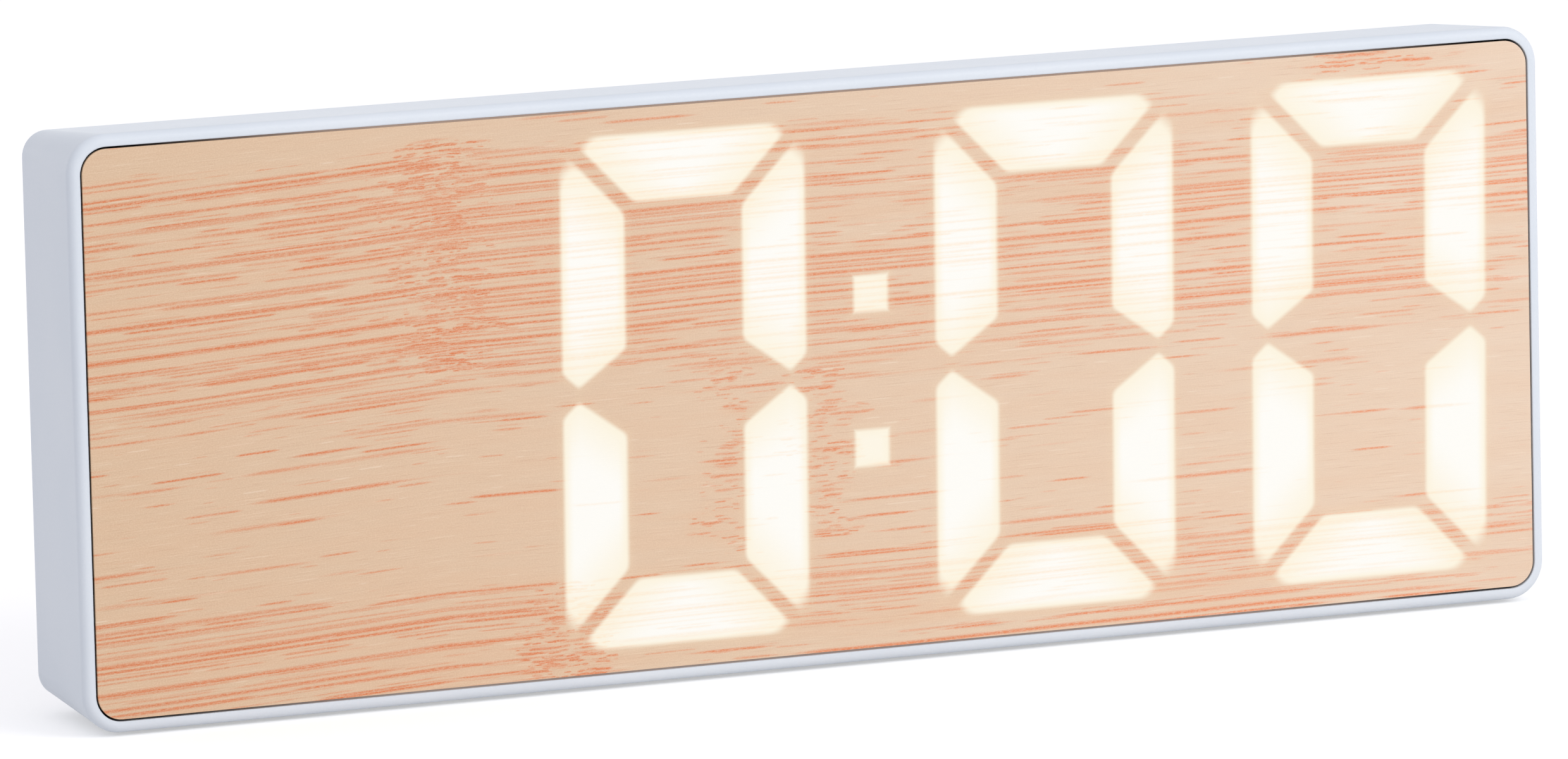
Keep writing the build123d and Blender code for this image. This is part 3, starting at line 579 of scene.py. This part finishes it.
def wood_hairs(tree, threads, x, z, hair, colour):
    """Pale and dark hairs, fine scratches and specks over the wood's colour."""
    pale_colour, pale_share = paint(248, 228, 204), 0.4
    dark_colour, dark_share = paint(192, 142, 110), 0.3
    scratch_colour, scratch_share = paint(253, 240, 222), 0.33
    speck_colour, speck_share = paint(250, 226, 200), 0.22
    pale = slope(tree, hair, 0.55, 0.82, 0.0, pale_share)
    colour = blend(tree, pale, colour, pale_colour)
    dark = slope(tree, hair, 0.45, 0.2, 0.0, dark_share)
    colour = blend(tree, dark, colour, dark_colour)
    scratch = placed(
        tree, threads, X=x, Z=z, Pitch=1.3, Width=0.09, Length=5.0, Seed=51.0, Cover=0.45
    )["Thread"]
    colour = blend(tree, times(tree, scratch, scratch_share), colour, scratch_colour)
    speck = slope(tree, blots(tree, x, z, 0.16, 0.13, 2.0, 1.0), 0.35, 0.75, 0.0, speck_share)
    return blend(tree, speck, colour, speck_colour)


def bamboo_group():
    """Printed bamboo: its colour, its streaks and the height of its grain."""
    tree, given, out = group(
        "bamboo_print",
        [("X", "value"), ("Z", "value")],
        [("Color", "colour"), ("Streaks", "value"), ("Height", "value")],
    )
    threads = threads_group()
    x, flat_z = given["X"], given["Z"]
    z = grain_height(tree, x, flat_z)
    up = straight_slope(tree, flat_z, -panel_half_height, panel_half_height)
    # Painted light: a share from 0 at the left to 1 at the right, which makes the wood and its
    # threads lighter to the right.
    painted_light_side = straight_slope(tree, x, -panel_half_width, panel_half_width)
    dense = value_ramp(tree, up, dense_stops)
    mask = knuckle_mask(tree, x, flat_z)

    streaks = greatest(
        tree,
        *long_threads(tree, threads, x, z, thread_cover(tree, x, z, dense)),
        *knuckle_dashes(tree, threads, x, z, mask),
        *knuckle_burst(tree, threads, x, z, flat_z),
    )
    fibre = slope(tree, blots(tree, x, z, 0.5, 0.08, 11.0), 0.3, 0.58, 0.5, 1.2)
    streaks = times(tree, streaks, fibre)

    ground = wood_ground(tree, x, z, painted_light_side, dense, mask)
    # Painted light: the threads are darker to the left and lighter to the right.
    shaded_left_thread, lit_right_thread = paint(217, 121, 68), paint(238, 143, 96)
    colour = blend(tree, streaks, ground, blend(tree, painted_light_side, shaded_left_thread, lit_right_thread))
    hair = blots(tree, x, z, 5, 0.11, 4.0)
    colour = wood_hairs(tree, threads, x, z, hair, colour)
    dress(tree, out, Color=colour, Streaks=streaks, Height=hair)
    return tree


# Skins that several materials use


def skin_group():
    """The skin of a moulded part: faint clouds in its colour, its gloss and a spark grain."""
    tree, given, out = group(
        "moulded_skin",
        [("Color", "colour"), ("Deep", "colour"), ("Grain", "value"), ("Gloss", "value")],
        [("Color", "colour"), ("Roughness", "value"), ("Height", "value")],
    )
    cloud_share, fine_share, gloss_play = 0.7, 0.3, 0.08
    place = part_place(tree)
    fine = noise(tree, place, given["Grain"], 2.0, 0.6)
    cloud = noise(tree, place, 60.0, 3.0)
    shade = plus(tree, times(tree, cloud, cloud_share), times(tree, fine, fine_share))
    dress(
        tree, out,
        Color=blend(tree, slope(tree, shade, 0.35, 0.65), given["Color"], given["Deep"]),
        Roughness=plus(tree, given["Gloss"], swing(tree, fine, gloss_play)),
        Height=fine,
    )
    return tree


def metal_group():
    """Metal with fine lines and a faint stain."""
    tree, given, out = group(
        "drawn_metal",
        [("Color", "colour"), ("Stain", "colour"), ("Lines", "vector"), ("Gloss", "value")],
        [("Color", "colour"), ("Roughness", "value"), ("Height", "value")],
    )
    gloss_play = 0.3
    place = part_place(tree)
    scaled = node(tree, "ShaderNodeVectorMath", {"operation": "MULTIPLY"})
    put(tree, scaled.inputs[0], place)
    put(tree, scaled.inputs[1], given["Lines"])
    lines = noise(tree, scaled.outputs[0], 1.0, 3.0, 0.6)
    stain = slope(tree, noise(tree, place, 400.0), 0.45, 0.8)
    dress(
        tree, out,
        Color=blend(tree, stain, given["Color"], given["Stain"]),
        Roughness=plus(tree, given["Gloss"], swing(tree, lines, gloss_play)),
        Height=lines,
    )
    return tree


panel_place = panel_place_group()
lit_digits = lit_digits_group()
bamboo = bamboo_group()
skin = skin_group()
drawn = metal_group()


def moulded(name, colour, deep, grain, gloss, relief, **values):
    """A moulded plastic or rubber. Grain is in grains a metre, and relief in metres."""
    made, tree, shader = material(name, **values)
    parts = placed(tree, skin, Color=colour, Deep=deep, Grain=grain, Gloss=gloss)
    dress(tree, shader, Base_Color=parts["Color"], Roughness=parts["Roughness"])
    bump = emboss(tree, shader, parts["Height"], relief)
    rounded = node(tree, "ShaderNodeBevel", {"samples": 4}, Radius=edge_round)
    dress(tree, bump, Normal=rounded.outputs[0])
    return made


def metal(name, colour, stain, lines, gloss):
    """A metal. Lines are so many a metre along X, Y and Z."""
    made, tree, shader = material(name, Metallic=1.0)
    parts = placed(tree, drawn, Color=colour, Stain=stain, Lines=lines, Gloss=gloss)
    dress(tree, shader, Base_Color=parts["Color"], Roughness=parts["Roughness"])
    emboss(tree, shader, parts["Height"], metal_relief)
    return made


# The finish of each material slot


def housing_plastic():
    """Cool white satin plastic of the frame."""
    return moulded(
        "housing_plastic", paint(226, 233, 241), paint(222, 230, 239),
        grain=5200.0, gloss=0.42, relief=0.006 * millimetre, IOR=1.5, Specular_IOR_Level=0.4,
    )


def cover_plastic():
    """The same plastic with the coarser grain of the rear shell."""
    return moulded(
        "cover_plastic", paint(226, 230, 237), paint(220, 225, 233),
        grain=3600.0, gloss=0.52, relief=0.012 * millimetre, IOR=1.5, Specular_IOR_Level=0.35,
    )


def wood_print():
    """The printed film with the digits that shine through it."""
    made, tree, shader = material("wood_print", IOR=1.48, Specular_IOR_Level=0.35)
    rim_light, full_light = paint(247, 238, 216), paint(249, 248, 244)
    inked_light, painted_spill_wood = paint(249, 208, 160), paint(244, 222, 188)
    lit_film = paint(112, 110, 104)
    smoothest, roughest = 0.42, 0.54
    place = placed(tree, panel_place)
    wood = placed(tree, bamboo, X=place["X"], Z=place["Z"])
    digits = placed(tree, lit_digits, X=place["X"], Z=place["Z"])
    depth = digits["Depth"]
    lit = slope(tree, depth, *lit_edge)
    halo = slope(tree, depth, *halo_edge)
    tip = slope(tree, digits["Tip"], 0.0, tip_reach, tip_white, 1.0)
    white = slope(tree, depth, *white_edge)
    white = times(tree, white, blend_value(tree, digits["Dot"], tip, colon_white))
    glow = blend(tree, white, rim_light, full_light)
    ink = times(tree, wood["Streaks"], ink_share)
    glow = blend(tree, ink, glow, inked_light)
    # Painted light: the digits' glow spilling onto the wood round them warms its colour.
    painted_spill = times(tree, halo, halo_share)
    base = blend(tree, painted_spill, wood["Color"], painted_spill_wood)
    dress(
        tree, shader,
        Base_Color=blend(tree, lit, base, lit_film),
        Emission_Color=blend(tree, lit, paint(0, 0, 0), glow),
        Emission_Strength=glow_strength,
        Roughness=slope(tree, wood["Height"], 0.2, 0.8, smoothest, roughest),
    )
    emboss(tree, shader, wood["Height"], wood_relief)
    return made


def clear_plate():
    """The milky plate behind the film. Its sawn edge is painted near-black as painted shade for
    the narrow gap round the film, and a painted glow of the digits' light lies along its top and
    bottom, less of it near the corners."""
    painted_shade_edge, leaked_light = paint(40, 34, 32), paint(158, 137, 125)
    leak_start, leak_full = 75.0, 45.0
    made, tree, shader = material("clear_plate", IOR=1.49)
    parts = placed(
        tree, skin, Color=paint(232, 228, 216), Deep=paint(222, 218, 206), Grain=900.0, Gloss=0.2
    )
    # Painted shade: the plate's side faces are near-black so the gap round the film looks dark.
    edge = slope(tree, facing(tree, "Y"), 0.6, 0.4)
    from_middle = calc(tree, "ABSOLUTE", placed(tree, panel_place)["X"])
    # Painted glow: emission on the plate's top and bottom faces stands in for the digits' light
    # in the gap, and it fades towards the corners.
    leak = slope(tree, from_middle, leak_start, leak_full)
    leak = times(tree, slope(tree, facing(tree, "Z"), 0.9, 1.0), leak)
    dress(
        tree, shader,
        Base_Color=blend(tree, edge, parts["Color"], painted_shade_edge),
        Emission_Color=blend(tree, leak, paint(0, 0, 0), leaked_light),
        Emission_Strength=1.0,
        Roughness=parts["Roughness"],
    )
    emboss(tree, shader, parts["Height"], plate_relief)
    return made


def black_tape():
    """Dull black foam gasket with open pores. Its black also serves as painted shade at the
    bottom of the narrow gap round the panel.
    """
    # Partly the gasket's own black, and partly painted shade for the gap round the panel.
    return moulded(
        "black_tape", paint(50, 44, 41), paint(38, 33, 31),
        grain=3000.0, gloss=0.85, relief=0.04 * millimetre,
    )


def diffuser():
    """Milky sheet that evens out the light."""
    return moulded(
        "diffuser", paint(244, 243, 238), paint(238, 237, 232),
        grain=1500.0, gloss=0.5, relief=0.004 * millimetre,
    )


def mask_plastic():
    """White plastic of the light wells."""
    return moulded(
        "mask_plastic", paint(240, 240, 236), paint(232, 232, 228),
        grain=2500.0, gloss=0.6, relief=0.01 * millimetre,
    )


def circuit_board():
    """Green solder mask over branching tracks."""
    made, tree, shader = material("circuit_board", IOR=1.5)
    place = part_place(tree)
    cells = node(
        tree, "ShaderNodeTexVoronoi", {"feature": "DISTANCE_TO_EDGE"},
        Vector=place, Scale=330.0, Randomness=0.35,
    ).outputs["Distance"]
    track = slope(tree, cells, 0.12, 0.08)
    cloud = slope(tree, noise(tree, place, 220.0), 0.3, 0.7)
    mask = blend(tree, cloud, paint(24, 92, 52), paint(30, 104, 60))
    dress(
        tree, shader,
        Base_Color=blend(tree, track, mask, paint(64, 142, 84)),
        Roughness=slope(tree, track, 0.0, 1.0, 0.28, 0.4),
    )
    emboss(tree, shader, track, track_relief)
    return made


def led_package():
    """Yellow phosphor of the LEDs."""
    return moulded(
        "led_package", paint(248, 226, 150), paint(240, 214, 130),
        grain=2000.0, gloss=0.35, relief=0.005 * millimetre,
    )


def black_parts():
    """Black moulding of the chip, buzzer and switches."""
    return moulded(
        "black_parts", paint(34, 34, 37), paint(26, 26, 29),
        grain=4200.0, gloss=0.55, relief=0.01 * millimetre,
    )


def crystal_can():
    """Drawn can of the clock crystal."""
    return metal(
        "crystal_can", paint(205, 206, 208), paint(188, 188, 190),
        lines=(900, 9000, 9000), gloss=0.25,
    )


def capacitor_can():
    """Satin aluminium can, drawn along its height."""
    return metal(
        "capacitor_can", paint(208, 209, 212), paint(188, 190, 194),
        lines=(5000, 600, 5000), gloss=0.35,
    )


def connector_plastic():
    """Ivory plastic of the ribbon's sockets."""
    return moulded(
        "connector_plastic", paint(236, 228, 206), paint(226, 218, 196),
        grain=3000.0, gloss=0.45, relief=0.008 * millimetre,
    )


def ribbon_film():
    """A flat ribbon with its row of conductors."""
    conductor_pitch = millimetre
    made, tree, shader = material("ribbon_film", IOR=1.5)
    place = part_place(tree)
    turns = times(tree, one_axis(tree, place, "X"), 2 * math.pi / conductor_pitch)
    wire = slope(tree, calc(tree, "SINE", turns), -0.2, 0.4)
    dust = slope(tree, noise(tree, place, 900.0), 0.3, 0.8)
    film = blend(tree, dust, paint(214, 218, 224), paint(198, 203, 210))
    dress(
        tree, shader,
        Base_Color=blend(tree, wire, film, paint(158, 164, 172)),
        Roughness=slope(tree, wire, 0, 1, 0.4, 0.25),
    )
    emboss(tree, shader, wire, wire_relief)
    return made


def screw_steel():
    """Zinc plated steel of the screws, turned round their length."""
    return metal(
        "screw_steel", paint(176, 178, 182), paint(150, 152, 158),
        lines=(4000, 700, 4000), gloss=0.36,
    )


def plunger_plastic():
    """Black plastic of the switch plungers."""
    return moulded(
        "plunger_plastic", paint(40, 40, 43), paint(32, 32, 35),
        grain=4000.0, gloss=0.45, relief=0.006 * millimetre,
    )


def inlet_metal():
    """Tin plated shell of the power inlet."""
    return metal(
        "inlet_metal", paint(200, 200, 203), paint(176, 176, 180),
        lines=(700, 5000, 5000), gloss=0.3,
    )


def sensor_bead():
    """Dark epoxy drop of the temperature sensor."""
    return moulded(
        "sensor_bead", paint(44, 36, 32), paint(34, 28, 25),
        grain=1500.0, gloss=0.25, relief=0.01 * millimetre,
    )


def cell_label():
    """A printed sleeve round each cell with a copper band at its plus end, and bare steel ends.
    The middle cell lies the other way round."""
    copper_start = 0.68
    made, tree, shader = material("cell_label")
    place = part_place(tree)
    low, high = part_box("battery_cells")
    along = straight_slope(tree, one_axis(tree, place, "X"), low.x, high.x)
    from_middle = apart(tree, one_axis(tree, place, "Z"), (low.z + high.z) / 2)
    turned = calc(tree, "LESS_THAN", from_middle, (high.z - low.z) / 6)
    band = slope(tree, apart(tree, along, turned), copper_start, copper_start + 0.02)
    cloud = noise(tree, place, 300.0)
    green = blend(tree, slope(tree, cloud, 0.3, 0.7), paint(38, 82, 58), paint(46, 92, 66))
    sleeve = blend(tree, band, green, paint(196, 142, 84))
    steel = slope(tree, facing(tree, "X"), 0.5, 0.6)
    dress(
        tree, shader,
        Base_Color=blend(tree, steel, sleeve, paint(190, 190, 192)),
        Metallic=greatest(tree, steel, times(tree, band, 0.6)),
        Roughness=slope(tree, cloud, 0.2, 0.8, 0.25, 0.36),
    )
    return made


def contact_metal():
    """Nickel plated springs and contacts of the battery bay."""
    return metal(
        "contact_metal", paint(206, 204, 198), paint(186, 182, 172),
        lines=(700, 6000, 6000), gloss=0.24,
    )


def lead_insulation():
    """Red insulation on the upper lead and black on the lower one."""
    made, tree, shader = material("lead_insulation", IOR=1.5)
    up = one_axis(tree, part_place(tree), "Z")
    upper = slope(tree, up, panel_middle.z - millimetre, panel_middle.z + millimetre)
    parts = placed(
        tree, skin, Color=paint(176, 34, 30), Deep=paint(160, 28, 26), Grain=2500.0, Gloss=0.4
    )
    dress(
        tree, shader,
        Base_Color=blend(tree, upper, paint(26, 26, 28), parts["Color"]),
        Roughness=parts["Roughness"],
    )
    emboss(tree, shader, parts["Height"], lead_relief)
    return made


def button_plastic():
    """Pale grey plastic of the button caps."""
    return moulded(
        "button_plastic", paint(214, 219, 226), paint(206, 211, 219),
        grain=4200.0, gloss=0.48, relief=0.008 * millimetre,
    )


def foot_rubber():
    """Dull grey rubber of the feet."""
    return moulded(
        "foot_rubber", paint(60, 60, 63), paint(48, 48, 51),
        grain=2400.0, gloss=0.8, relief=0.03 * millimetre,
    )


finishes = (
    housing_plastic, cover_plastic, wood_print, clear_plate, black_tape, diffuser, mask_plastic,
    circuit_board, led_package, black_parts, crystal_can, capacitor_can, connector_plastic,
    ribbon_film, screw_steel, plunger_plastic, inlet_metal, sensor_bead, cell_label,
    contact_metal, lead_insulation, button_plastic, foot_rubber,
)


def dress_nodes():
    """Every node of the clock takes the finish of its slot in the record."""
    made = {finish.__name__: finish() for finish in finishes}
    for part in frame["record"]["subparts"]:
        mesh = frame["nodes"][part["node"]].data
        mesh.materials.clear()
        mesh.materials.append(made[part["material_slot"]])


# The stage


def ray_seen(tree):
    """1 for what the camera, a reflection or a clear part sees, and 0 for light that falls."""
    path = node(tree, "ShaderNodeLightPath").outputs
    share = plus(tree, path["Is Camera Ray"], path["Is Glossy Ray"])
    return calc(tree, "ADD", share, path["Is Transmission Ray"], clamp=True)


def floor_paint():
    """A pale matt floor that is lifted to white where it is seen, and keeps its shadows."""
    made = bpy.data.materials.new("floor_paint")
    made.use_nodes = True
    tree = made.node_tree
    tree.nodes.remove(tree.nodes["Principled BSDF"])
    shade = tuple(floor_cloud * level for level in floor_colour[:3]) + (1.0,)
    cloud = noise(tree, part_place(tree), 9.0)
    matt = node(tree, "ShaderNodeBsdfDiffuse", Color=blend(tree, cloud, floor_colour, shade))
    lift = times(tree, ray_seen(tree), floor_lift)
    shine = node(tree, "ShaderNodeEmission", Strength=lift)
    both = node(tree, "ShaderNodeAddShader")
    put(tree, both.inputs[0], matt.outputs[0])
    put(tree, both.inputs[1], shine.outputs[0])
    dress(tree, tree.nodes["Material Output"], Surface=both.outputs[0])
    return made


def floor():
    """A wide pale floor under the feet."""
    corners = [(-1, -1), (1, -1), (1, 1), (-1, 1)]
    mesh = bpy.data.meshes.new("floor")
    points = [(x * floor_reach, y * floor_reach, 0) for x, y in corners]
    mesh.from_pydata(points, [], [(0, 1, 2, 3)])
    mesh.materials.append(floor_paint())
    made = bpy.data.objects.new("floor", mesh)
    bpy.context.scene.collection.objects.link(made)


def surroundings():
    """A white room that gives less light than it shows."""
    world = bpy.data.worlds.new("white_room")
    bpy.context.scene.world = world
    world.use_nodes = True
    tree = world.node_tree
    tree.nodes.clear()
    light = node(tree, "ShaderNodeBackground", Color=room_colour, Strength=room_light)
    shown = node(tree, "ShaderNodeBackground", Color=(1.0, 1.0, 1.0, 1.0), Strength=1.0)
    mixed = node(tree, "ShaderNodeMixShader")
    for place, value in enumerate((ray_seen(tree), light.outputs[0], shown.outputs[0])):
        put(tree, mixed.inputs[place], value)
    node(tree, "ShaderNodeOutputWorld", Surface=mixed.outputs[0])


def lamp(name, place, width, height, watts, colour):
    """A soft lamp that looks at the clock."""
    light = bpy.data.lights.new(name, "AREA")
    light.shape = "RECTANGLE"
    light.size = width
    light.size_y = height
    light.energy = watts
    light.color = colour
    made = bpy.data.objects.new(name, light)
    made.location = place
    made.rotation_euler = (panel_middle - Vector(place)).to_track_quat("-Z", "Y").to_euler()
    bpy.context.scene.collection.objects.link(made)


def camera():
    """The photograph's view."""
    data = bpy.data.cameras.new("camera")
    data.lens = camera_lens
    data.sensor_width = camera_sensor
    data.clip_end = camera_far
    made = bpy.data.objects.new("camera", data)
    bpy.context.scene.collection.objects.link(made)
    place = Matrix.Translation(panel_middle + camera_place)
    turn = (camera_aim - camera_place).to_track_quat("-Z", "Y").to_matrix().to_4x4()
    made.matrix_world = place @ turn @ Matrix.Rotation(camera_roll, 4, "Z")
    bpy.context.scene.camera = made


dress_nodes()
camera()
floor()
surroundings()
for one_lamp in lamps:
    lamp(*one_lamp)
bpy.context.scene.view_settings.view_transform = "Standard"
